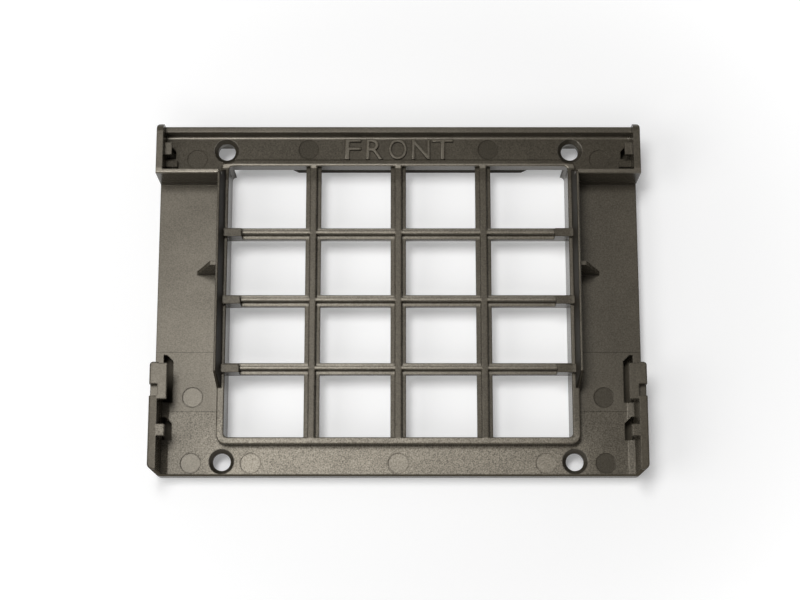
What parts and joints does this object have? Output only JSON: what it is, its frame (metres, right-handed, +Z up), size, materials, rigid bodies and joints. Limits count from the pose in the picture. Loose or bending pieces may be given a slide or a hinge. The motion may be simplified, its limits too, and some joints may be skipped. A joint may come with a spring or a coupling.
{
  "type": "drive tray adapter",
  "caption": "Moulded plastic tray that carries a small drive in a larger bay: ribbed open floor, side rails, hooked rear clips, raised front lip and countersunk screw holes.",
  "frame": {"origin": "middle of the tray's outline, on the surface that the skirt rests on", "axes": "+X across the tray, +Y towards the raised front edge with the lip, +Z up, the side that the drive lies on"},
  "size_m": [0.1016, 0.0738, 0.0152],
  "materials": {
    "tray_plastic": "satin glass-filled plastic, grey-brown, with a fine light and dark speckle"
  },
  "bodies": {
    "root": {"drive_tray_adapter": "tray_plastic"}
  },
  "joints": []
}
